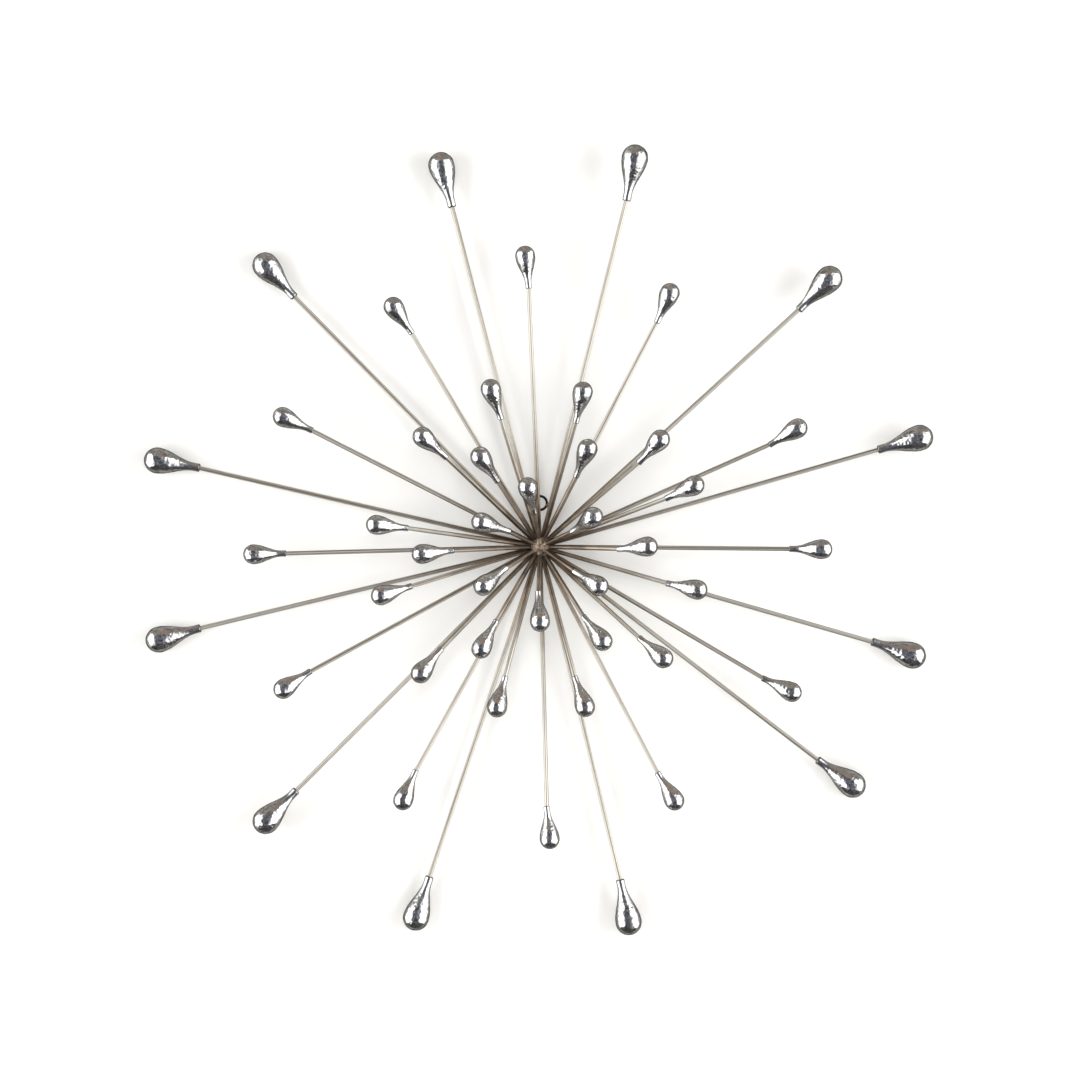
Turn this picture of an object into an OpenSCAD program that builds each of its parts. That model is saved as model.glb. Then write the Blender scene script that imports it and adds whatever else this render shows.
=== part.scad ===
// Sunburst wall sculpture: chromed metal drops on straight steel rods, brazed to a small bronze hub.
// It hangs from a steel ring brazed between the two upper outer rods.
// Millimetres. The wall is the XZ plane, +Z is up and the front faces -Y.
// The origin is the middle of the hanging ring's hole.

/* [Rods] */
// Diameter of every rod
rod_d = 4; // [3:0.5:4]
// Gap all round a rod in its socket, filled by solder or braze
socket_gap = 0.05; // [0.02:0.01:0.1]

/* [Drops] */
// Diameter of a large drop at its bulb
drop_d = 25.4; // [22:0.2:28]
// Length of a large drop from the end of its neck to the tip of its bulb
drop_length = 54.4; // [48:0.2:62]
// Diameter of a large drop's neck
neck_d = 8; // [7:0.5:9]
// Length of the straight part of a large drop's neck
neck_length = 6; // [4:0.5:10]
// Depth of the socket in a large drop's neck
drop_socket = 8; // [6:0.5:10]
// Size of a small drop against a large one
small_scale = 0.75; // [0.7:0.05:0.85]

/* [Reach from the hub's axis to each tier's necks, seen from the front] */
// Outer tier, which carries the large drops
outer_reach = 335; // [310:1:370]
// Second tier
second_reach = 242; // [225:1:265]
// Third tier
third_reach = 126; // [120:1:140]
// Fourth tier
fourth_reach = 77; // [74:1:86]
// Inner tier
inner_reach = 36; // [34:1:42]

/* [Hub] */
// Diameter of the hub core
hub_d = 16; // [15.5:0.5:18]
// Diameter of the rounded nose at the front of the hub core
nose_d = 14; // [14:0.5:15.5]
// Step in depth between one ring of rod sockets and the next
seat_step = 3.6; // [3.6:0.1:4.2]
// Distance along a rod from the hub's axis to the rod's inner end
rod_start = 6.5; // [6.3:0.1:6.7]

/* [Hanging ring] */
// Diameter of the ring's hole
ring_hole_d = 10.8; // [9:0.2:10.8]
// Outside diameter of the ring
ring_d = 15.6; // [15:0.1:15.8]
// Thickness of the ring from front to back
ring_width = 3; // [2.5:0.1:3.4]
// Height of the ring's hole above the hub's axis
ring_height = 42; // [42:0.5:46]

/* [Handwork] */
// How far each ray strays from its even place: 0 is a regular sunburst, 1 is as brazed by hand
handwork = 1; // [0:0.25:1]

/* [Hidden] */
OUTER = 0;
SECOND = 1;
THIRD = 2;
FOURTH = 3;
INNER = 4;
TIERS = [OUTER, SECOND, THIRD, FOURTH, INNER];
TIER_NAMES = ["outer", "second", "third", "fourth", "inner"];
RAYS = [12, 12, 12, 6, 6];

// Angle of each tier's first ray, counted from +X towards +Z
FIRST_TURN = [15, 0, 15, 0, 30];
REACH = [outer_reach, second_reach, third_reach, fourth_reach, inner_reach];
// Depth of each tier's sockets along the hub; the first three tiers take two depths, one step apart,
// and the last two lean out steeply, so they need a little more room
ROOM = [0, 0, 0, 1, 0.6];
STEPS = [0, 2, 4, 6, 7];
SEAT = [for (tier = TIERS) STEPS[tier] * seat_step + ROOM[tier]];
STAGGER = [seat_step, seat_step, seat_step, 0, 0];
// Angle at which each tier leans out from the wall
RISE = [1, 7, 15, 18, 29];

// Handwork, ray by ray: degrees added to the even turn
TURN_BY = [
    [1, -2.5, 1, -0.5, -0.5, 2, -1.5, 0, -3.5, -1.5, 7.5, -1],
    [-0.5, -6, 2.5, 2.5, 1, 3, 1.5, -1.5, 1, 1.5, -2.5, -0.5],
    [6, -4.5, -1, 2, 1.5, 7, 2, 1, 0, 0, 2.5, -1],
    [-1.5, 3, 3, 2.5, -0.5, 2],
    [-4.5, 9.5, 4, 2, -2, -5.5]
];
// millimetres added to the reach
REACH_BY = [
    [2, 0, 5, 2, 2, 1, 1, -5, 0, -6, 2, -3],
    [-5, -4, -2, 4, -6, 1, 0, 6, 1, 5, 0, 3],
    [1, -4, -4, 0, -4, 0, 1, 8, 1, 1, 1, -2],
    [-4, -3, -4, 5, 4, 0],
    [-3, -4, -4, 1, 6, 3]
];
// degrees added to the lean from the wall
RISE_BY = [
    [1.5, 2.5, 4, -0.5, -1, -1, -0.5, 1, -1, -0.5, -1, -1],
    [1, 1, 0, -1, 1, -1, -1, -1, 0, -1, 0, 0],
    [1, 2, 1, 0, 1, 0, 0, -2, 0, 0, 0, 1],
    [6, 6, 4, -4, -6, -3],
    [9, 7, -4, -3, -7, -1]
];
// degrees by which the drop is turned on the end of its rod
TILT = [
    [0, 3, 3, 0, -2, 3, 2, 0, 0, -2, 2, -3],
    [0, 7, 4, 4, 4, 2, 0, 5, 6, 4, 4, 5],
    [4, 7, 3, 2, 2, 2, 0, 4, 0, 4, 2, 4],
    [6, 4, 2, 4, 2, 6],
    [8, 4, 7, 6, 5, 4]
];

// The two outer rays that the ring sits between
RING_RAYS = [2, 3];
// Depth of the hub's first sockets behind the middle of the ring
ring_seat = 3.2;
// Length of the hub core behind its first sockets
hub_tail = 4;
hub_chamfer = 1;
// The ring's inner edges are broken and its outer edges are rounded
ring_break = 0.3;
ring_round = 0.8;
// Diameter of the blob of braze that each saddle is cut from
braze_d = 4.6;
// Radius round the end of a drop's neck
neck_round = 1.2;
// Extra length that carries a cut clear of a surface
clear = 4;
flare_steps = 12;
bulb_steps = 9;
round_steps = 4;
$fn = 48;

function two_digits(n) = n < 10 ? str("0", n) : str(n);
function drop_name(tier, i) = str(TIER_NAMES[tier], "_drop_", two_digits(i + 1));
function rods_name(tier) = str(TIER_NAMES[tier], "_rods");

function even_turn(tier, i) = FIRST_TURN[tier] + i * 360 / RAYS[tier];
function turn(tier, i) = even_turn(tier, i) + handwork * TURN_BY[tier][i];
function rise(tier, i) = RISE[tier] + handwork * RISE_BY[tier][i];
function tilt(tier, i) = handwork * TILT[tier][i];
function seat(tier, i) = SEAT[tier] + (i % 2) * STAGGER[tier];
function size(tier) = tier == OUTER ? 1 : small_scale;
// Distance along a rod from the hub's axis to the neck of its drop
function neck_at(tier, i) = (REACH[tier] + handwork * REACH_BY[tier][i]) / cos(rise(tier, i));

// A quarter circle of radius r about [x, y], from angle a to angle b
function arc(x, y, r, a, b, steps) =
    [for (k = [0 : steps]) let (t = a + (b - a) * k / steps) [x + r * cos(t), y + r * sin(t)]];

// Places its children on a ray, with X along the rod and Y towards the wall
module on_ray(tier, i) {
    translate([0, ring_seat - seat(tier, i), -ring_height])
        rotate([0, -turn(tier, i), 0])
            rotate([0, 0, -rise(tier, i)])
                children();
}

// A round bar along X
module bar(d, from, to) {
    translate([from, 0, 0])
        rotate([0, 90, 0])
            cylinder(d = d, h = to - from);
}

module rod(tier, i) {
    on_ray(tier, i)
        bar(rod_d, rod_start, neck_at(tier, i) + drop_socket * size(tier));
}

// Half outline of a drop of full size: radius against distance from the end of the neck
function drop_outline() =
    let (
        neck_r = neck_d / 2,
        bulb_r = drop_d / 2,
        bulb_at = drop_length - bulb_r,
        lip = arc(neck_r - neck_round, neck_round, neck_round, -90, 0, round_steps),
        flare = [
            for (k = [0 : flare_steps])
                let (u = k / flare_steps)
                [
                    neck_r + (bulb_r - neck_r) * (1 - cos(180 * u)) / 2,
                    neck_length + (bulb_at - neck_length) * u
                ]
        ],
        bulb = [
            for (k = [1 : bulb_steps])
                let (t = 90 * k / bulb_steps)
                [k == bulb_steps ? 0 : bulb_r * cos(t), bulb_at + bulb_r * sin(t)]
        ]
    )
    concat([[0, 0]], lip, flare, bulb);

// A drop, turned about the middle of its socket, which stays in line with the rod
module drop(tier, i) {
    depth = drop_socket * size(tier);
    neck = neck_at(tier, i);
    on_ray(tier, i)
        difference() {
            translate([neck + depth / 2, 0, 0])
                rotate([0, -tilt(tier, i), 0])
                    translate([-depth / 2, 0, 0])
                        rotate([0, 90, 0])
                            scale(size(tier))
                                rotate_extrude()
                                    polygon(drop_outline());
            bar(rod_d + 2 * socket_gap, neck - clear, neck + depth);
        }
}

module large_drop(i) {
    color("gainsboro") drop(OUTER, i);
}

module small_drop(tier, i) {
    color("gainsboro") drop(tier, i);
}

module rods(tier) {
    color("darkgray")
        for (i = [0 : RAYS[tier] - 1])
            rod(tier, i);
}

// Turned core with a shallow socket for every rod; its axis is Y
module hub_core() {
    hub_r = hub_d / 2;
    nose_r = nose_d / 2;
    nose_at = SEAT[INNER];
    body = [
        [0, -hub_tail],
        [hub_r - hub_chamfer, -hub_tail],
        [hub_r, hub_chamfer - hub_tail],
        [hub_r, SEAT[FOURTH]]
    ];
    nose = [
        for (k = [0 : bulb_steps])
            let (t = 90 * k / bulb_steps)
            [k == bulb_steps ? 0 : nose_r * cos(t), nose_at + nose_r * sin(t)]
    ];
    color("peru")
        difference() {
            translate([0, ring_seat, -ring_height])
                rotate([90, 0, 0])
                    rotate_extrude()
                        polygon(concat(body, nose));
            for (tier = TIERS)
                for (i = [0 : RAYS[tier] - 1])
                    on_ray(tier, i)
                        bar(rod_d + 2 * socket_gap, rod_start, hub_d + clear);
        }
}

// The ring's plain shape, about the Y axis through the origin
module ring_blank() {
    low = ring_hole_d / 2;
    high = ring_d / 2;
    half = ring_width / 2;
    rotate([90, 0, 0])
        rotate_extrude()
            polygon(concat(
                [[low, ring_break - half], [low + ring_break, -half]],
                arc(high - ring_round, ring_round - half, ring_round, -90, 0, round_steps),
                arc(high - ring_round, half - ring_round, ring_round, 0, 90, round_steps),
                [[low + ring_break, half], [low, half - ring_break]]
            ));
}

module hanging_ring() {
    color("dimgray") ring_blank();
}

// Two saddles of braze, one on each side, in the gap between the ring and the rod beside it
module ring_braze() {
    color("peru")
        for (i = RING_RAYS) {
            side = turn(OUTER, i) < 90 ? turn(OUTER, i) - 90 : turn(OUTER, i) + 90;
            rod_distance = ring_height * abs(cos(turn(OUTER, i)));
            middle = (ring_d / 2 + rod_distance - rod_d / 2) / 2;
            difference() {
                translate([middle * cos(side), 0, middle * sin(side)])
                    sphere(d = braze_d);
                ring_blank();
                rod(OUTER, i);
            }
        }
}

hub_core();
hanging_ring();
ring_braze();
for (tier = TIERS)
    rods(tier);
for (i = [0 : RAYS[OUTER] - 1])
    large_drop(i);
for (tier = [SECOND, THIRD, FOURTH, INNER])
    for (i = [0 : RAYS[tier] - 1])
        small_drop(tier, i);
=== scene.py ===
"""Looks of the sunburst wall sculpture: 48 chromed drops on steel rods, brazed to a small bronze hub.

Metres, +Z up, front towards -Y, wall at +Y. The origin is the middle of the hanging ring's hole.
Every rod keeps the ends of its CAD rod. A drop sits on the end of its rod, and its tip is the point
of its CAD node that is farthest from the middle of its socket.
"""
import math

import bpy
import numpy as np
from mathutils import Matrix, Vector


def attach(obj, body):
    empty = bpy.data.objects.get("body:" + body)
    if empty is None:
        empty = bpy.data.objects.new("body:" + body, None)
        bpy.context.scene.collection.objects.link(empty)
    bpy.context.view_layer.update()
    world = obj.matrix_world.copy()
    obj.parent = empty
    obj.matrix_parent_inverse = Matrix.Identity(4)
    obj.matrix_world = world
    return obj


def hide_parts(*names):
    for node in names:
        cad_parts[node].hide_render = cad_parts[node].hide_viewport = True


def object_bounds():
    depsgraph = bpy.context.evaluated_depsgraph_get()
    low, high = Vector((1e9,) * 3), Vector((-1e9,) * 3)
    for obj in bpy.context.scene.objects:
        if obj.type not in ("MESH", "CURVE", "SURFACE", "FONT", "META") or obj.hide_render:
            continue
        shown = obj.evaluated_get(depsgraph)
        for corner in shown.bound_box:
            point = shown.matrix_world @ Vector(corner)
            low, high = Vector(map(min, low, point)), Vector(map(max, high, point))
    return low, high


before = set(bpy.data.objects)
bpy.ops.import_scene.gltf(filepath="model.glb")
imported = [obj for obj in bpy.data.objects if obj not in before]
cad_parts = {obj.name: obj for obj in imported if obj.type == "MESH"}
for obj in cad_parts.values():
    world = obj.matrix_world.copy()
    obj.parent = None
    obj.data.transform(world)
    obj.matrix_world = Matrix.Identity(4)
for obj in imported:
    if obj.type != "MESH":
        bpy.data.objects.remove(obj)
CAD_BOX = [list(corner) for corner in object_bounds()]

MM = 0.001
FULL_TURN = 2 * math.pi
BODY = "root"
SEED = 20

# Design dimensions, as in the CAD model
TIERS = {"outer": 12, "second": 12, "third": 12, "fourth": 6, "inner": 6}
SMALL_SCALE = 0.75
ROD_RADIUS = 2.0 * MM
SOCKET_RADIUS = 2.05 * MM
SOCKET_DEPTH = 8.0 * MM
BULB_RADIUS = 12.7 * MM
DROP_LENGTH = 54.4 * MM
NECK_RADIUS = 4.0 * MM
NECK_LENGTH = 6.0 * MM
NECK_ROUND = 1.2 * MM
HUB_AXIS_Z = -42.0 * MM
HUB_RADIUS = 8.0 * MM
HUB_BACK_Y = 7.2 * MM
HUB_TAPER_Y = -19.4 * MM
NUB_RADIUS = 5.2 * MM
NUB_Y = -24.2 * MM

# CAD points are matched to the micrometre
CAD_GRID = 1e6

# Mesh density
DROP_SPACING = 0.8 * MM
NECK_ROUND_STEPS = 5
NECK_STEPS = 6
ROD_SIDES = 20
ROD_SPACING = 9.0 * MM
HUB_VOXEL = 0.42 * MM
SHARP_EDGE = math.radians(40)

# Hammered surface of a drop: the blows lie in rows round it, and each strays from its even place
DENT_SPACING = 3.7 * MM
DENT_DEPTHS = (0.08 * MM, 0.24 * MM)
DENT_TILT = 0.085
DENT_SOFTNESS = 0.008 * MM
STRAY_ROUND = 0.3
STRAY_ALONG = 0.35
LAST_ROW_GAP = 0.3 * MM
SLOPE_STEP = 0.5 * MM
STEEPEST_SLOPE = 3.0
FLARE_CURVE = 0.5
TIP_DENT = (0.2, 0.6)
# The neck keeps this share of the dents, which grow to full depth over this part of the length
NECK_DENTING = 0.25
DENTED_FROM = (0.12, 0.5)
# Slow waves in a drop's form, over this part of the length
SWELL = 0.018
SWELL_FROM = (0.1, 0.5)
# The skin stays this far inside the CAD drop; all handwork fades out over the neck's rounded end
SKIN_INSET = 0.02 * MM
NECK_FADE = (0.5, 2.5)
SOCKET_MOUTH_INSET = 0.5 * MM

# Rods: how far the middle of a long one strays, and how long the pattern is that they share
ROD_SWAY = 0.12 * MM
LONG_ROD = 0.2
ROD_PATTERN_LENGTH = 50

# Braze: the core under it, a fillet round each rod's root, beads beside some, and lumps all over
HUB_SKIN = 0.4 * MM
HUB_CHAMFER = (1.0 * MM, 0.8 * MM)
TAPER_INSET = 2.0 * MM
NUB_CAP = 1.0 * MM
FILLET_LENGTHS = (2.2 * MM, 5.0 * MM)
FILLET_RADII = (2.55 * MM, 3.3 * MM)
FILLET_SINK = 2.5 * MM
FILLET_WAIST = (0.4, 0.82)
FILLET_EDGE = 0.12 * MM
FILLET_TIP = 0.3 * MM
BEAD_CHANCE = 0.6
BEAD_RADII = (0.8 * MM, 1.3 * MM)
BEAD_REACH = (0.5 * MM, 3.0 * MM)
BEAD_OFFSET = 2.2 * MM
FLOW_PASSES = 3
LUMP_DEPTH = 0.16 * MM
LUMP_SPACING = 3.2 * MM
LUMP_SPREAD = (0.5, 1.2)
LUMP_WAVES = 6

# Colours of the metals
PLATE = (0.76, 0.76, 0.77, 1)
DULL_PLATE = (0.50, 0.48, 0.45, 1)
NECK_LIP = (0.16, 0.14, 0.12, 1)
# Rods: each pair is the dark and bright end of lengthwise lines that are partly drawing marks and
# partly painted highlight lines and painted dark bands
STEEL_DARK = (0.18, 0.145, 0.11, 1)
STEEL_BRIGHT = (0.82, 0.775, 0.70, 1)
BRONZE_DARK = (0.055, 0.040, 0.027, 1)
BRONZE_BRIGHT = (0.40, 0.31, 0.23, 1)
# Painted shade on the rods close to the hub, where they crowd
PAINTED_SHADE = (0.035, 0.025, 0.017, 1)
BRAZE_DARK = (0.14, 0.105, 0.075, 1)
BRAZE_BRIGHT = (0.44, 0.335, 0.255, 1)
OXIDE_DARK = (0.030, 0.027, 0.024, 1)
OXIDE_RUBBED = (0.10, 0.09, 0.08, 1)

# The room that polished metal sees: the dark and the light colour of each part's patches
FRONT = ((0.035, 0.036, 0.040, 1), (0.25, 0.265, 0.30, 1))
HAZE = ((0.10, 0.105, 0.12, 1), (0.46, 0.48, 0.54, 1))
CEILING = ((0.10, 0.095, 0.085, 1), (0.46, 0.435, 0.385, 1))
GROUND = ((0.018, 0.018, 0.018, 1), (0.17, 0.17, 0.17, 1))
FAR_WALL = ((0.22, 0.21, 0.185, 1), (0.64, 0.62, 0.58, 1))
WARM = (0.46, 0.23, 0.13, 1)
BOX_GLOW = (3.0, 3.0, 2.955, 1)
# Where each part begins and is full: turn in radians from the front, height and depth as parts of 1
HAZE_TURN = (0.26, 0.42)
CEILING_HEIGHT = (0.50, 0.68)
GROUND_HEIGHT = (-0.50, -0.68)
FAR_WALL_DEPTH = (0.16, 0.46)
WARM_WAY = (0.04, -0.55, 0.83)
WARM_SPREAD = (0.12, 0.30)
BOX_TURN = (0.50, 0.72)
BOX_HEIGHT = (0.52, 0.70)
BOX_DEPTH = (-0.06, 0.32)
BOX_SHIFT = 0.06

# Stage
PALE = (0.93, 0.93, 0.925, 1)
WALL_COLOUR = (0.862, 0.857, 0.838, 1)
WALL_GLOW = 0.02
WALL_GAP = 1.2 * MM
WALL_SIZE = (3.4, 2.6)
WALL_MIDDLE_Z = 0.3
FLOOR_DARK = (0.80, 0.79, 0.78, 1)
FLOOR_LIGHT = (0.86, 0.855, 0.845, 1)
FLOOR_GLOW = 0.4
FLOOR_FADE = (1.2, 2.4)
FLOOR_SIDE = 30.0
FLOOR_Z = -1.0
ROOM_RADIUS = 9.0
BACKDROP_RADIUS = 10.0
SHELL_STEPS = 64
AIR_GLOW = 0.33
LAMP_COLOUR = (1.0, 0.995, 0.985)
# Place, width and height, and radiance of each soft box
SOFT_BOXES = {
    "soft_box_left": ((-1.5, -1.6, 0.0), (0.9, 1.4), 4.2),
    "soft_box_right": ((1.5, -1.6, 0.0), (0.9, 1.4), 5.6),
    "soft_box_front": ((0.0, -3.2, 0.2), (1.2, 1.2), 4.6),
}

# Camera
CAMERA_PLACE = (0.0, -3.0, -0.0356)
CAMERA_VIEW_WIDTH = 1.0395
SENSOR = 36.0


# ---------------------------------------------------------------- meshes

def make_object(name, points, faces, smooth=True):
    """A mesh object from points in metres, in the CAD frame."""
    mesh = bpy.data.meshes.new(name)
    mesh.from_pydata([tuple(p) for p in points], [], faces)
    mesh.update()
    if smooth:
        mesh.shade_smooth()
    obj = bpy.data.objects.new(name, mesh)
    bpy.context.scene.collection.objects.link(obj)
    return obj


def make_piece(name, points, faces, node):
    """A visual piece that rides on the body and stands for a CAD node."""
    obj = make_object(name, points, faces)
    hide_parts(node)
    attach(obj, BODY)
    return obj


def store(obj, name, values):
    """Keeps three numbers for each point, for a material to read."""
    layer = obj.data.attributes.new(name, "FLOAT_VECTOR", "POINT")
    layer.data.foreach_set("vector", np.asarray(values, dtype=np.float32).ravel())


def ring_faces(ring_sizes):
    """Faces between rings of points that follow each other; a ring of one point is a tip."""
    faces = []
    start = 0
    for low, high in zip(ring_sizes, ring_sizes[1:]):
        after = start + low
        count = max(low, high)
        for i in range(count):
            j = (i + 1) % count
            if low == 1:
                faces.append((start, after + j, after + i))
            elif high == 1:
                faces.append((start + i, start + j, after))
            else:
                faces.append((start + i, start + j, after + j, after + i))
        start = after
    return faces


def basis(direction):
    """Two unit vectors across a direction. Side, up and direction are right-handed."""
    direction = Vector(direction).normalized()
    helper = Vector((0, 0, 1)) if abs(direction.y) > 0.9 else Vector((0, 1, 0))
    side = direction.cross(helper).normalized()
    up = direction.cross(side)
    return np.array(side), np.array(up), np.array(direction)


def smoothstep(low, high, x):
    """0 below low, 1 above high, and a smooth rise between them."""
    t = np.clip((x - low) / (high - low), 0, 1)
    return t * t * (3 - 2 * t)


def lathe(outline, centre, axis, sides=32):
    """Points and faces of a turned solid whose outline is (distance along axis, radius)."""
    side, up, axis = basis(axis)
    points, rings = [], []
    for along, radius in outline:
        if radius <= 0:
            points.append(np.array(centre) + axis * along)
            rings.append(1)
            continue
        for k in range(sides):
            turn = FULL_TURN * k / sides
            across = math.cos(turn) * side + math.sin(turn) * up
            points.append(np.array(centre) + axis * along + across * radius)
        rings.append(sides)
    return points, ring_faces(rings)


def ball(centre, radius, steps=8):
    """A ball with its poles to the front and the back."""
    outline = []
    for k in range(steps + 1):
        t = math.pi * k / steps
        outline.append((-radius * math.cos(t), radius * math.sin(t) if 0 < k < steps else 0))
    return lathe(outline, centre, (0, -1, 0), 2 * steps)


# ---------------------------------------------------------------- places, from the CAD nodes

def node_points(name):
    """A CAD node's points, each place once."""
    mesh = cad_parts[name].data
    points = np.empty(len(mesh.vertices) * 3)
    mesh.vertices.foreach_get("co", points)
    points = points.reshape(-1, 3)
    first = np.unique(np.round(points * CAD_GRID).astype(int), axis=0, return_index=True)[1]
    return points[np.sort(first)]


def rods_of(tier):
    """Each rod of a tier as its inner end and its outer end. Points joined by edges are one rod's."""
    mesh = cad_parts[tier + "_rods"].data
    places = [tuple(round(c * CAD_GRID) for c in v.co) for v in mesh.vertices]
    leader = {}

    def find(key):
        while leader.setdefault(key, key) != key:
            key = leader[key]
        return key

    for edge in mesh.edges:
        a = find(places[edge.vertices[0]])
        b = find(places[edge.vertices[1]])
        leader[a] = b
    groups = {}
    for key in dict.fromkeys(places):
        groups.setdefault(find(key), []).append(key)
    hub = np.array((0, 0, HUB_AXIS_Z))
    rods = []
    for keys in groups.values():
        points = np.array(keys) / CAD_GRID
        middle = points.mean(axis=0)
        along = np.linalg.svd(points - middle)[2][0]
        reach = (points - middle) @ along
        ends = [middle + along * reach.min(), middle + along * reach.max()]
        across = [math.hypot(*(end - hub)[[0, 2]]) for end in ends]
        rods.append(ends if across[0] < across[1] else ends[::-1])
    return rods


def place_drop(name, size, rods):
    """Pivot in the socket's middle, rod direction and drop direction of one drop."""
    points = node_points(name)
    middle = points.mean(axis=0)
    inner, outer = min(rods, key=lambda rod: np.linalg.norm(rod[1] - middle))
    along = (outer - inner) / np.linalg.norm(outer - inner)
    pivot = outer - along * SOCKET_DEPTH * size / 2
    distance = np.linalg.norm(points - pivot, axis=1)
    tip = points[distance.argmax()]
    return pivot, along, (tip - pivot) / distance.max()


# ---------------------------------------------------------------- drops

def drop_outline(size):
    """Distance along the drop and radius, from the flat end of the neck to the tip."""
    bulb_at = DROP_LENGTH - BULB_RADIUS
    rise = BULB_RADIUS - NECK_RADIUS
    outline = []
    for k in range(NECK_ROUND_STEPS + 1):
        t = math.radians(-90 + 90 * k / NECK_ROUND_STEPS)
        radius = NECK_RADIUS - NECK_ROUND * (1 - math.cos(t))
        outline.append((NECK_ROUND * (1 + math.sin(t)), radius))
    for k in range(1, NECK_STEPS + 1):
        outline.append((NECK_ROUND + (NECK_LENGTH - NECK_ROUND) * k / NECK_STEPS, NECK_RADIUS))
    steps = round((bulb_at - NECK_LENGTH) * size / DROP_SPACING)
    for k in range(1, steps + 1):
        u = k / steps
        radius = NECK_RADIUS + rise * (1 - math.cos(math.pi * u)) / 2
        outline.append((NECK_LENGTH + (bulb_at - NECK_LENGTH) * u, radius))
    steps = round(BULB_RADIUS * size * math.pi / 2 / DROP_SPACING)
    for k in range(1, steps):
        t = math.pi / 2 * k / steps
        outline.append((bulb_at + BULB_RADIUS * math.sin(t), BULB_RADIUS * math.cos(t)))
    return np.array(outline) * size


def hammer_blows(outline, size, rng):
    """Each blow on a drop as its distance along, its turn and its depth."""
    length = DROP_LENGTH * size
    blows = []
    at = NECK_LENGTH * size * 0.5
    while at < length - LAST_ROW_GAP:
        here = np.interp(at, outline[:, 0], outline[:, 1])
        count = max(1, round(FULL_TURN * here / DENT_SPACING))
        first = rng.uniform(0, FULL_TURN)
        for k in range(count):
            turn = first + FULL_TURN * (k + rng.uniform(-STRAY_ROUND, STRAY_ROUND)) / count
            s = min(at + rng.uniform(-STRAY_ALONG, STRAY_ALONG) * DENT_SPACING, length)
            blows.append((s, turn, rng.uniform(*DENT_DEPTHS)))
        ahead = np.interp(at + SLOPE_STEP, outline[:, 0], outline[:, 1])
        slope = abs(ahead - here) / SLOPE_STEP
        at += DENT_SPACING / math.sqrt(1 + min(slope, STEEPEST_SLOPE) ** 2)
    return np.array(blows)


def dent_drop(s, radius, turn, size, rng):
    """How far each point of a drop's skin is hammered in, for points at s, radius and turn."""
    outline = drop_outline(size)
    blows = hammer_blows(outline, size, rng)
    spot_s, spot_turn, depth = blows.T
    spot_radius = np.interp(spot_s, outline[:, 0], outline[:, 1], right=0)
    spot_x = spot_radius * np.cos(spot_turn)
    spot_y = spot_radius * np.sin(spot_turn)
    spots = np.stack([spot_x, spot_y, spot_s], axis=1)
    points = np.stack([radius * np.cos(turn), radius * np.sin(turn), s], axis=1)
    offset = points[:, None, :] - spots[None, :, :]
    apart = (offset ** 2).sum(axis=2)
    tilt = rng.normal(0, DENT_TILT, (len(spots), 3))
    lean = np.clip((offset * tilt[None, :, :]).sum(axis=2), -DENT_DEPTHS[0], DENT_DEPTHS[0])
    # A blow leaves a flat on the bulb and a gentler one on the flare
    on_bulb = spot_s > (DROP_LENGTH - BULB_RADIUS) * size
    flare_curve = np.maximum(spot_radius, FLARE_CURVE * BULB_RADIUS * size)
    curve = np.where(on_bulb, BULB_RADIUS * size, flare_curve)
    cut = depth[None, :] + lean - apart / (2 * curve[None, :])
    # The deepest blow counts at each point, with a soft ridge where two meet
    share = np.exp(np.clip(cut / DENT_SOFTNESS, -40, 40)).sum(axis=1)
    near_a_blow = cut.max(axis=1) > -5 * DENT_SOFTNESS
    dent = np.where(near_a_blow, DENT_SOFTNESS * np.log1p(share), 0)
    beyond_neck = smoothstep(*DENTED_FROM, s / (DROP_LENGTH * size))
    return dent * (NECK_DENTING + (1 - NECK_DENTING) * beyond_neck)


def swell_drop(s, radius, turn, size, rng):
    """How far a drop's skin lies inside the round form, in slow waves."""
    u = s / (DROP_LENGTH * size)
    start = rng.uniform(0, FULL_TURN, 3)
    wave = (2 + np.sin(2 * turn + start[0] + 3.5 * u) + np.sin(3 * turn + start[1] - 5 * u)) / 4
    return SWELL * radius * wave * smoothstep(*SWELL_FROM, u)


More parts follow.
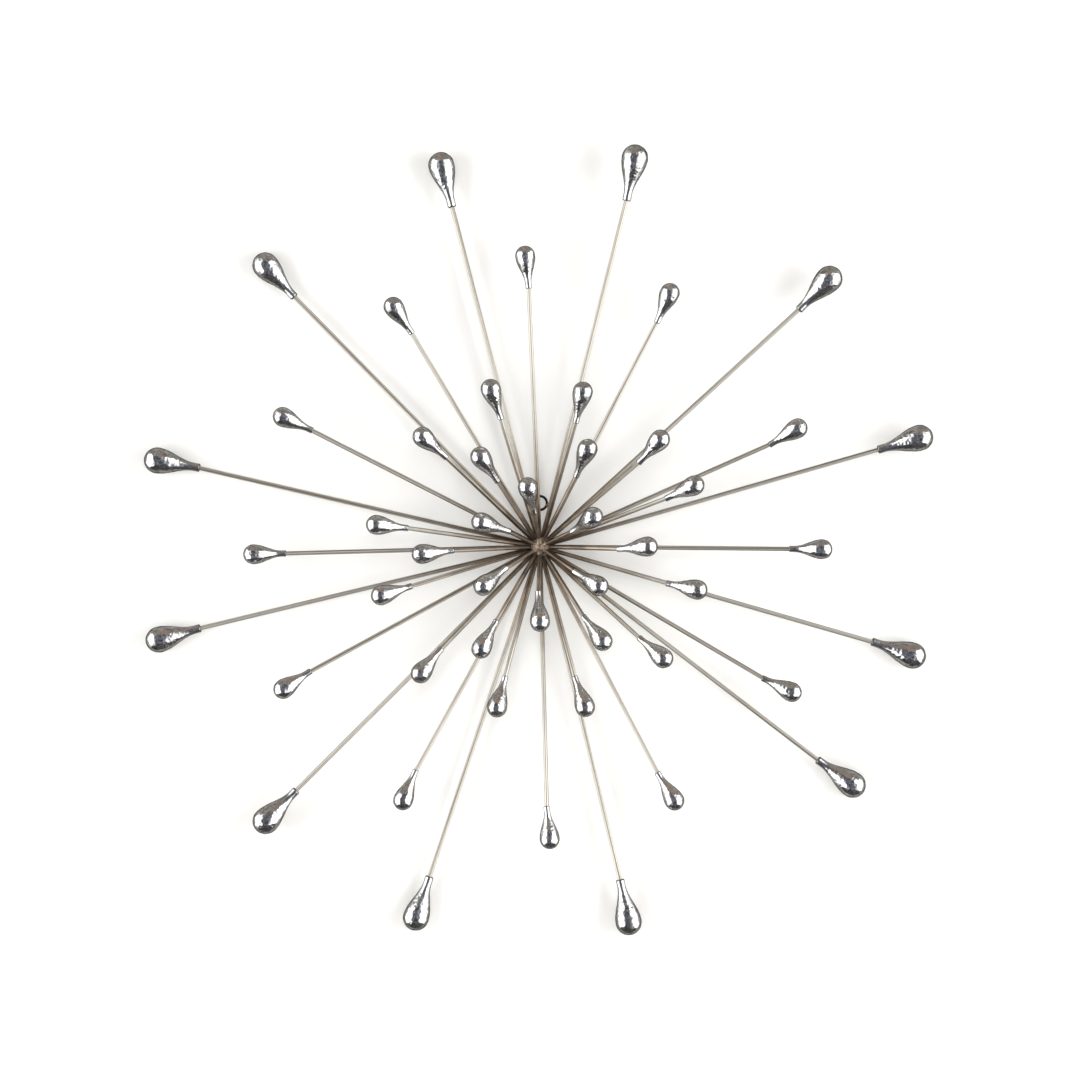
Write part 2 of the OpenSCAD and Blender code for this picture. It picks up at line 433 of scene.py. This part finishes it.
def make_drop(tier, number, rods, rng):
    """A cast and hand-finished drop, with the socket that its rod sits in."""
    name = f"{tier}_drop_{number:02d}"
    size = 1.0 if tier == "outer" else SMALL_SCALE
    pivot, along, axis = place_drop(name, size, rods)
    outline = drop_outline(size)
    sides = 4 * round(FULL_TURN * BULB_RADIUS * size / DROP_SPACING / 4)
    turns = np.arange(sides) * FULL_TURN / sides
    s = np.repeat(outline[:, 0], sides)
    radius = np.repeat(outline[:, 1], sides)
    turn = np.tile(turns, len(outline))
    length = DROP_LENGTH * size
    half_socket = SOCKET_DEPTH * size / 2

    swell = swell_drop(s, radius, turn, size, rng)
    inward = SKIN_INSET + swell + dent_drop(s, radius, turn, size, rng)
    steep = np.arctan(np.repeat(np.gradient(outline[:, 1], outline[:, 0]), sides))
    start_fade = smoothstep(*NECK_FADE, s / (NECK_ROUND * size))
    radius = radius - inward * np.cos(steep) * start_fade
    s_moved = s + inward * np.sin(steep) * start_fade

    side, up, axis = basis(axis)
    neck = pivot - axis * half_socket
    skin = (
        neck
        + np.outer(s_moved, axis)
        + np.outer(radius * np.cos(turn), side)
        + np.outer(radius * np.sin(turn), up)
    )
    # The socket follows the rod, which a turned drop doesn't quite line up with
    from_pivot = skin - pivot
    on_rod = np.outer(from_pivot @ along, along)
    off_rod = from_pivot - on_rod
    clearance = np.linalg.norm(off_rod, axis=1)
    inside = (clearance < SOCKET_RADIUS) & (s < SOCKET_DEPTH * size)
    skin[inside] = (pivot + on_rod + off_rod * (SOCKET_RADIUS / clearance)[:, None])[inside]

    rod_side = side - along * (side @ along)
    rod_side /= np.linalg.norm(rod_side)
    rod_up = np.cross(along, rod_side)
    socket_floor = pivot + along * half_socket
    mouth = pivot - along * (half_socket - SOCKET_MOUTH_INSET)
    circle = np.outer(np.cos(turns), rod_side) + np.outer(np.sin(turns), rod_up)
    tip = neck + axis * (length - rng.uniform(*TIP_DENT) * DENT_DEPTHS[1])
    points = np.concatenate([
        socket_floor[None, :],
        socket_floor + circle * SOCKET_RADIUS,
        mouth + circle * SOCKET_RADIUS,
        skin,
        tip[None, :],
    ])
    rings = [1, sides, sides] + [sides] * len(outline) + [1]
    obj = make_piece(name + "_cast", points, ring_faces(rings), name)
    along_drop = np.concatenate([np.zeros(1 + 2 * sides), s / length, [1.0]])
    dullness = np.full(len(along_drop), rng.uniform(0, 1))
    store(obj, "drop_finish", np.stack([along_drop, dullness, np.zeros(len(along_drop))], axis=1))
    return obj


# ---------------------------------------------------------------- rods

def make_rods(tier, rods, rng):
    """A tier's rods in one piece, each a drawn bar that is a little wavy, as straightened by hand."""
    points, faces, places = [], [], []
    turns = np.arange(ROD_SIDES) * FULL_TURN / ROD_SIDES
    for inner, outer in rods:
        side, up, along = basis(outer - inner)
        length = np.linalg.norm(outer - inner)
        steps = max(4, round(length / ROD_SPACING))
        shift = rng.uniform(0, ROD_PATTERN_LENGTH)
        sway = rng.uniform(-ROD_SWAY, ROD_SWAY, 2) * min(1.0, length / LONG_ROD)
        first = len(points)
        points.append(inner)
        places.append((shift, 0, 0))
        for k in range(steps + 1):
            u = k / steps
            bend = math.sin(math.pi * u)
            centre = inner + along * length * u + (side * sway[0] + up * sway[1]) * bend
            for turn in turns:
                across = math.cos(turn) * side + math.sin(turn) * up
                points.append(centre + across * ROD_RADIUS)
                places.append((length * u + shift, math.cos(turn), math.sin(turn)))
        points.append(outer)
        places.append((length + shift, 0, 0))
        rings = [1] + [ROD_SIDES] * (steps + 1) + [1]
        faces += [tuple(first + i for i in face) for face in ring_faces(rings)]
    obj = make_piece(tier + "_rods_drawn", points, faces, tier + "_rods")
    store(obj, "rod_place", places)
    obj.data.set_sharp_from_angle(angle=SHARP_EDGE)
    return obj


# ---------------------------------------------------------------- hub

def hub_core():
    """The turned core under the braze."""
    rim = HUB_RADIUS - HUB_SKIN
    outline = [
        (-HUB_BACK_Y, 0),
        (-HUB_BACK_Y, rim - HUB_CHAMFER[1]),
        (HUB_CHAMFER[0] - HUB_BACK_Y, rim),
        (-HUB_TAPER_Y - TAPER_INSET, rim),
        (-NUB_Y, NUB_RADIUS),
        (-NUB_Y + NUB_CAP, 0),
    ]
    return lathe(outline, (0, 0, HUB_AXIS_Z), (0, -1, 0))


def rod_fillet(inner, along, rng):
    """Braze that runs up round the root of one rod."""
    long = rng.uniform(*FILLET_LENGTHS)
    root = rng.uniform(*FILLET_RADII)
    outline = [
        (-FILLET_SINK, 0),
        (-FILLET_SINK, root),
        (0, root),
        (long * FILLET_WAIST[0], root * FILLET_WAIST[1]),
        (long, ROD_RADIUS + FILLET_EDGE),
        (long + FILLET_TIP, 0),
    ]
    return lathe(outline, inner, along, 16)


def rod_bead(inner, along, rng):
    """A small bead of braze beside the root of a rod."""
    turn = rng.uniform(0, FULL_TURN)
    side, up, _ = basis(along)
    across = math.cos(turn) * side + math.sin(turn) * up
    spot = inner + along * rng.uniform(*BEAD_REACH) + across * BEAD_OFFSET
    return ball(spot, rng.uniform(*BEAD_RADII))


def make_hub(all_rods, rng):
    """The hub core under its braze: a lumpy mass that runs up round the root of every rod."""
    shapes = [hub_core(), ball((0, NUB_Y, HUB_AXIS_Z), NUB_RADIUS)]
    for inner, outer in all_rods:
        along = (outer - inner) / np.linalg.norm(outer - inner)
        shapes.append(rod_fillet(inner, along, rng))
        if rng.uniform() < BEAD_CHANCE:
            shapes.append(rod_bead(inner, along, rng))
    points, faces = [], []
    for shape_points, shape_faces in shapes:
        first = len(points)
        points += shape_points
        faces += [tuple(first + i for i in face) for face in shape_faces]
    obj = make_piece("hub_brazed", points, faces, "hub_core")
    remesh = obj.modifiers.new("melt", "REMESH")
    remesh.mode = "VOXEL"
    remesh.voxel_size = HUB_VOXEL
    remesh.use_smooth_shade = True
    smooth = obj.modifiers.new("flow", "SMOOTH")
    smooth.factor = 0.5
    smooth.iterations = FLOW_PASSES
    apply_modifiers(obj)
    lump(obj, rng)
    return obj


def apply_modifiers(obj):
    """Turns the result of an object's modifiers into its mesh."""
    graph = bpy.context.evaluated_depsgraph_get()
    mesh = bpy.data.meshes.new_from_object(obj.evaluated_get(graph))
    obj.modifiers.clear()
    old = obj.data
    obj.data = mesh
    mesh.name = obj.name
    bpy.data.meshes.remove(old)
    mesh.shade_smooth()


def lump(obj, rng):
    """Moves each point in by a smooth, uneven amount up to LUMP_DEPTH."""
    mesh = obj.data
    count = len(mesh.vertices)
    points, normals = np.empty(count * 3), np.empty(count * 3)
    mesh.vertices.foreach_get("co", points)
    mesh.vertices.foreach_get("normal", normals)
    points, normals = points.reshape(-1, 3), normals.reshape(-1, 3)
    total = np.zeros(count)
    for _ in range(LUMP_WAVES):
        way = rng.normal(size=3)
        way *= FULL_TURN / LUMP_SPACING * rng.uniform(*LUMP_SPREAD) / np.linalg.norm(way)
        total += np.sin(points @ way + rng.uniform(0, FULL_TURN))
    inward = LUMP_DEPTH * (0.5 + 0.5 * np.clip(total / 3, -1, 1))
    points -= normals * inward[:, None]
    mesh.vertices.foreach_set("co", points.ravel())
    mesh.update()


# ---------------------------------------------------------------- materials

class Tree:
    """Short calls to build a node material."""

    def __init__(self, name):
        self.material = bpy.data.materials.new(name)
        self.material.use_nodes = True
        self.nodes = self.material.node_tree.nodes
        self.links = self.material.node_tree.links
        self.shader = self.nodes["Principled BSDF"]

    def node(self, kind, inputs=(), **settings):
        made = self.nodes.new("ShaderNode" + kind)
        for key, value in settings.items():
            setattr(made, key, value)
        for key, value in dict(inputs).items():
            self.put(made, key, value)
        return made

    def put(self, node, key, value):
        """Links a socket to an input, or sets the input to a value."""
        if isinstance(value, bpy.types.NodeSocket):
            self.links.new(value, node.inputs[key])
        else:
            node.inputs[key].default_value = value

    def place(self):
        return self.node("TexCoord").outputs["Object"]

    def attribute(self, name):
        return self.node("Attribute", attribute_name=name).outputs["Vector"]

    def noise(self, vector, scale, detail=2.0, rough=0.5, stretch=None):
        if stretch:
            vector = self.node("Mapping", {"Vector": vector, "Scale": stretch}).outputs["Vector"]
        settings = {"Vector": vector, "Scale": scale, "Detail": detail, "Roughness": rough}
        return self.node("TexNoise", settings).outputs["Fac"]

    def remap(self, value, low, high, to_low=0.0, to_high=1.0):
        """Takes low..high to to_low..to_high and stops at both ends."""
        settings = {"Value": value, "From Min": low, "From Max": high}
        settings.update({"To Min": to_low, "To Max": to_high})
        return self.node("MapRange", settings, clamp=True).outputs["Result"]

    def mix(self, factor, a, b):
        made = self.node("Mix", data_type="RGBA")
        self.put(made, 0, factor)
        self.put(made, 6, a)
        self.put(made, 7, b)
        return made.outputs[2]

    def maths(self, operation, a, b=0.0):
        made = self.node("Math", operation=operation)
        self.put(made, 0, a)
        self.put(made, 1, b)
        return made.outputs[0]

    def vector_value(self, operation, a, b=(0, 0, 0)):
        return self.node("VectorMath", {0: a, 1: b}, operation=operation).outputs["Value"]

    def bump(self, height, distance, strength=1.0, normal=None):
        made = self.node("Bump", {"Height": height, "Distance": distance, "Strength": strength})
        if normal is not None:
            self.put(made, "Normal", normal)
        return made.outputs["Normal"]

    def set(self, **inputs):
        """Sets the main shader's inputs by name, with _ for a space."""
        for key, value in inputs.items():
            self.put(self.shader, key.replace("_", " "), value)

    def glow(self, colour, strength=1.0):
        return self.node("Emission", {"Color": colour, "Strength": strength}).outputs[0]

    def blend(self, factor, a, b):
        made = self.node("MixShader", {0: factor})
        self.links.new(a, made.inputs[1])
        self.links.new(b, made.inputs[2])
        return made.outputs[0]

    def surface(self, shader):
        self.links.new(shader, self.nodes["Material Output"].inputs["Surface"])
        return self.material


def paint(objects, material):
    """Gives objects one material each."""
    for obj in objects:
        obj.data.materials.clear()
        obj.data.materials.append(material)


def chrome():
    """Polished plate over a hand-worked casting: ripples, faint haze and a little tarnish."""
    tree = Tree("hammered_chrome")
    place = tree.place()
    haze = tree.noise(place, scale=160, detail=4, rough=0.6)
    cloud = tree.noise(place, scale=90, detail=5, rough=0.65)
    ripple = tree.noise(place, scale=420, detail=2, rough=0.5)
    grain = tree.noise(place, scale=3200, detail=2, rough=0.6)
    finish = tree.node("SeparateXYZ", {0: tree.attribute("drop_finish")})
    along, dullness = finish.outputs["X"], finish.outputs["Y"]
    worn = tree.remap(dullness, 0, 1, 0.35, 1)
    tarnish = tree.maths("MULTIPLY", worn, tree.remap(cloud, 0.44, 0.68, 0, 0.9))
    plate = tree.mix(tarnish, PLATE, DULL_PLATE)
    lip = tree.remap(along, 0.006, 0.03, 0.85, 0)
    tree.set(
        Base_Color=tree.mix(lip, plate, NECK_LIP),
        Metallic=1.0,
        Specular_Tint=(0.04, 0.038, 0.034, 1),
        Roughness=tree.remap(haze, 0.3, 0.75, 0.05, 0.16),
        Normal=tree.bump(grain, 0.004 * MM, 1.0, tree.bump(ripple, 0.13 * MM)),
    )
    return tree.material


def rod_steel():
    """Drawn steel with dark and bright lines along it, partly drawing marks and partly painted
    highlight lines and painted dark bands; bronze brown towards the hub, and painted shade on the rods
    close to the hub, where they crowd.
    """
    tree = Tree("drawn_steel")
    place = tree.attribute("rod_place")
    world = tree.place()
    # Lines along each rod: partly drawing marks, partly painted highlight lines and painted dark bands
    streak_and_shine_bands = tree.noise(place, scale=1.0, detail=2, rough=0.6, stretch=(2.0, 1.7, 1.7))
    lines = tree.noise(place, scale=1.0, detail=3, rough=0.6, stretch=(6.0, 4.5, 4.5))
    fine = tree.noise(place, scale=1.0, detail=2, rough=0.6, stretch=(14.0, 16.0, 16.0))
    blotch = tree.noise(world, scale=60, detail=4, rough=0.6)
    from_hub = {"Vector": world, "Location": (0, 0, -HUB_AXIS_Z), "Scale": (1, 0, 1)}
    reach = tree.vector_value("LENGTH", tree.node("Mapping", from_hub).outputs["Vector"])
    uneven = tree.maths("ADD", reach, tree.remap(blotch, 0.3, 0.7, -0.018, 0.018))
    heat = tree.remap(uneven, 0.035, 0.125, 1, 0)
    # Painted shade: the rods go dark close to the hub, where they crowd
    hub_shade = tree.remap(uneven, 0.012, 0.045, 0.65, 0)
    broad_streak_and_shine = tree.remap(streak_and_shine_bands, 0.38, 0.54, 0, 0.75)
    bright = tree.maths("ADD", broad_streak_and_shine, tree.remap(lines, 0.35, 0.65, 0, 0.25))
    steel = tree.mix(bright, STEEL_DARK, STEEL_BRIGHT)
    bronze = tree.mix(bright, BRONZE_DARK, BRONZE_BRIGHT)
    bronze = tree.mix(hub_shade, bronze, PAINTED_SHADE)
    tree.set(
        Base_Color=tree.mix(heat, steel, bronze),
        Metallic=0.8,
        Specular_Tint=(0.03, 0.026, 0.02, 1),
        Roughness=tree.remap(fine, 0.3, 0.7, 0.32, 0.46),
        Normal=tree.bump(fine, 0.02 * MM, 0.6, tree.bump(lines, 0.05 * MM, 0.6)),
    )
    return tree.material


def braze():
    """Bronze filler, lumpy where it set, brown in the hollows."""
    tree = Tree("braze_bronze")
    place = tree.place()
    cloud = tree.noise(place, scale=240, detail=4, rough=0.6)
    pits = tree.noise(place, scale=900, detail=3, rough=0.6)
    tree.set(
        Base_Color=tree.mix(tree.remap(cloud, 0.35, 0.65), BRAZE_DARK, BRAZE_BRIGHT),
        Metallic=0.75,
        Roughness=tree.remap(pits, 0.3, 0.7, 0.28, 0.5),
        Normal=tree.bump(pits, 0.10 * MM, 0.7, tree.bump(cloud, 0.35 * MM, 0.8)),
    )
    return tree.material


def ring_steel():
    """Dark oxidised steel, rubbed brighter in patches."""
    tree = Tree("dark_steel")
    place = tree.place()
    rub = tree.noise(place, scale=300, detail=5, rough=0.65)
    grit = tree.noise(place, scale=1600, detail=3, rough=0.6)
    tree.set(
        Base_Color=tree.mix(tree.remap(rub, 0.45, 0.7), OXIDE_DARK, OXIDE_RUBBED),
        Metallic=1.0,
        Roughness=tree.remap(grit, 0.3, 0.7, 0.3, 0.5),
        Normal=tree.bump(grit, 0.04 * MM, 0.6),
    )
    return tree.material


# ---------------------------------------------------------------- stage

def seen_by(obj, camera=False, diffuse=False, glossy=False, shadow=False):
    """Which rays meet a stage piece."""
    obj.visible_camera = camera
    obj.visible_diffuse = diffuse
    obj.visible_glossy = glossy
    obj.visible_transmission = False
    obj.visible_volume_scatter = False
    obj.visible_shadow = shadow


def make_plane(name, centre, across, up, width, height, material):
    """A flat stage piece that is seen, lit and shaded, but not reflected."""
    centre, across, up = Vector(centre), Vector(across), Vector(up)
    corners = []
    for a, b in ((-1, -1), (1, -1), (1, 1), (-1, 1)):
        corners.append(centre + across * a * width / 2 + up * b * height / 2)
    obj = make_object(name, corners, [(0, 1, 2, 3)], smooth=False)
    paint([obj], material)
    seen_by(obj, camera=True, diffuse=True, shadow=True)


def make_shell(name, radius, material, **rays):
    """A ball round the whole scene."""
    obj = make_object(name, *ball((0, 0, 0), radius, SHELL_STEPS))
    paint([obj], material)
    seen_by(obj, **rays)


def wall_paint():
    """Matt white, seen from the front only, so that the back of the sculpture can be looked at."""
    tree = Tree("wall_paint")
    grain = tree.noise(tree.place(), scale=90, detail=3)
    matt = tree.node("BsdfDiffuse", {"Color": WALL_COLOUR})
    tree.put(matt, "Normal", tree.bump(grain, 0.02 * MM, 0.2))
    both = tree.node("AddShader")
    tree.links.new(matt.outputs[0], both.inputs[0])
    tree.links.new(tree.glow((1, 1, 1, 1), WALL_GLOW), both.inputs[1])
    behind = tree.node("NewGeometry").outputs["Backfacing"]
    clear = tree.node("BsdfTransparent").outputs[0]
    return tree.surface(tree.blend(behind, both.outputs[0], clear))


def floor_paint():
    """Matt pale floor that fades into the plain backdrop far from the sculpture."""
    tree = Tree("floor_paint")
    place = tree.place()
    colour = tree.mix(tree.noise(place, scale=40, detail=4), FLOOR_DARK, FLOOR_LIGHT)
    tree.set(
        Base_Color=colour, Roughness=0.8, Emission_Color=colour, Emission_Strength=FLOOR_GLOW
    )
    away = tree.remap(tree.vector_value("LENGTH", place), *FLOOR_FADE)
    return tree.surface(tree.blend(away, tree.shader.outputs[0], tree.glow(PALE)))


def room_glow():
    """What polished metal sees: a tall soft box on each side of a dim studio, dark at the front."""
    tree = Tree("room_glow")
    way = tree.node("VectorMath", {0: tree.place()}, operation="NORMALIZE").outputs[0]
    parts = tree.node("SeparateXYZ", {0: way})
    depth, height = parts.outputs["Y"], parts.outputs["Z"]
    aside = tree.maths("ABSOLUTE", tree.maths("ADD", parts.outputs["X"], BOX_SHIFT))
    turn = tree.maths("ARCTAN2", aside, tree.maths("MULTIPLY", depth, -1.0))
    patches = tree.noise(way, scale=4.2, detail=3, rough=0.6)
    mottle = tree.noise(way, scale=6.5, detail=4, rough=0.7)
    flecks = tree.noise(way, scale=9.0, detail=3, rough=0.6)

    front = tree.mix(tree.remap(patches, 0.44, 0.58), *FRONT)
    haze = tree.mix(tree.remap(mottle, 0.40, 0.60), *HAZE)
    front = tree.mix(tree.remap(turn, *HAZE_TURN), front, haze)
    ceiling = tree.mix(tree.remap(mottle, 0.4, 0.6), *CEILING)
    to_warm = tree.remap(tree.vector_value("DISTANCE", way, WARM_WAY), *WARM_SPREAD, 1, 0)
    warm = tree.maths("MULTIPLY", to_warm, tree.remap(mottle, 0.42, 0.54, 0, 0.9))
    ceiling = tree.mix(warm, ceiling, WARM)
    ground = tree.mix(tree.remap(mottle, 0.42, 0.62), *GROUND)
    far_wall = tree.mix(tree.remap(mottle, 0.40, 0.60), *FAR_WALL)
    colour = tree.mix(tree.remap(height, *CEILING_HEIGHT), front, ceiling)
    colour = tree.mix(tree.remap(height, *GROUND_HEIGHT), colour, ground)
    colour = tree.mix(tree.remap(depth, *FAR_WALL_DEPTH), colour, far_wall)

    tall = tree.remap(tree.maths("ABSOLUTE", height), *BOX_HEIGHT, 1, 0)
    wide = tree.maths("MULTIPLY", tree.remap(turn, *BOX_TURN), tree.remap(depth, *BOX_DEPTH, 1, 0))
    box = tree.maths("MULTIPLY", tall, wide)
    box = tree.maths("MULTIPLY", box, tree.remap(flecks, 0.36, 0.50, 0.10, 1))
    return tree.surface(tree.glow(tree.mix(box, colour, BOX_GLOW)))


def plain_glow():
    """The even pale tone beyond the floor and wall."""
    tree = Tree("pale")
    return tree.surface(tree.glow(PALE))


def soft_box(name, place, size, radiance):
    """A rectangle of light that faces the hub; metal sees the room's own picture of it instead."""
    data = bpy.data.lights.new(name, "AREA")
    data.shape = "RECTANGLE"
    data.size, data.size_y = size
    data.energy = radiance * math.pi * size[0] * size[1]
    data.color = LAMP_COLOUR
    obj = bpy.data.objects.new(name, data)
    obj.location = place
    aim = Vector((0, 0, HUB_AXIS_Z)) - Vector(place)
    obj.rotation_mode = "QUATERNION"
    obj.rotation_quaternion = aim.to_track_quat("-Z", "Y")
    obj.visible_camera = False
    obj.visible_glossy = False
    bpy.context.scene.collection.objects.link(obj)


def make_stage(wall_y):
    """The wall, floor, surroundings and lights."""
    wall_middle = (0, wall_y, WALL_MIDDLE_Z)
    make_plane("wall", wall_middle, (1, 0, 0), (0, 0, 1), *WALL_SIZE, wall_paint())
    floor_middle = (0, 0, FLOOR_Z)
    make_plane("floor", floor_middle, (1, 0, 0), (0, 1, 0), FLOOR_SIDE, FLOOR_SIDE, floor_paint())
    make_shell("room", ROOM_RADIUS, room_glow(), glossy=True)
    make_shell("backdrop", BACKDROP_RADIUS, plain_glow(), camera=True)
    for name, (place, size, radiance) in SOFT_BOXES.items():
        soft_box(name, place, size, radiance)
    world = bpy.data.worlds.new("studio_air")
    world.use_nodes = True
    air = world.node_tree.nodes["Background"]
    air.inputs["Color"].default_value = PALE
    air.inputs["Strength"].default_value = AIR_GLOW
    bpy.context.scene.world = world
    world.cycles_visibility.glossy = False
    bpy.context.scene.view_settings.view_transform = "Standard"


def make_camera():
    """A camera square to the wall, as in the photo, just above the hub's height."""
    data = bpy.data.cameras.new("camera")
    data.sensor_width = SENSOR
    data.lens = SENSOR * -CAMERA_PLACE[1] / CAMERA_VIEW_WIDTH
    camera = bpy.data.objects.new("camera", data)
    camera.location = CAMERA_PLACE
    camera.rotation_euler = (math.radians(90), 0, 0)
    bpy.context.scene.collection.objects.link(camera)
    bpy.context.scene.camera = camera


# ---------------------------------------------------------------- the sculpture

def main():
    rng = np.random.default_rng(SEED)
    make_camera()
    drops, bars, all_rods = [], [], []
    for tier, count in TIERS.items():
        rods = rods_of(tier)
        all_rods += rods
        bars.append(make_rods(tier, rods, rng))
        for number in range(1, count + 1):
            drops.append(make_drop(tier, number, rods, rng))
    paint(drops, chrome())
    paint(bars, rod_steel())
    hub = make_hub(all_rods, rng)
    bronze = braze()
    paint([hub], bronze)
    for name, material in (("hanging_ring", ring_steel()), ("ring_braze", bronze)):
        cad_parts[name].material_slots[0].material = material
    make_stage(CAD_BOX[1][1] + WALL_GAP)


main()
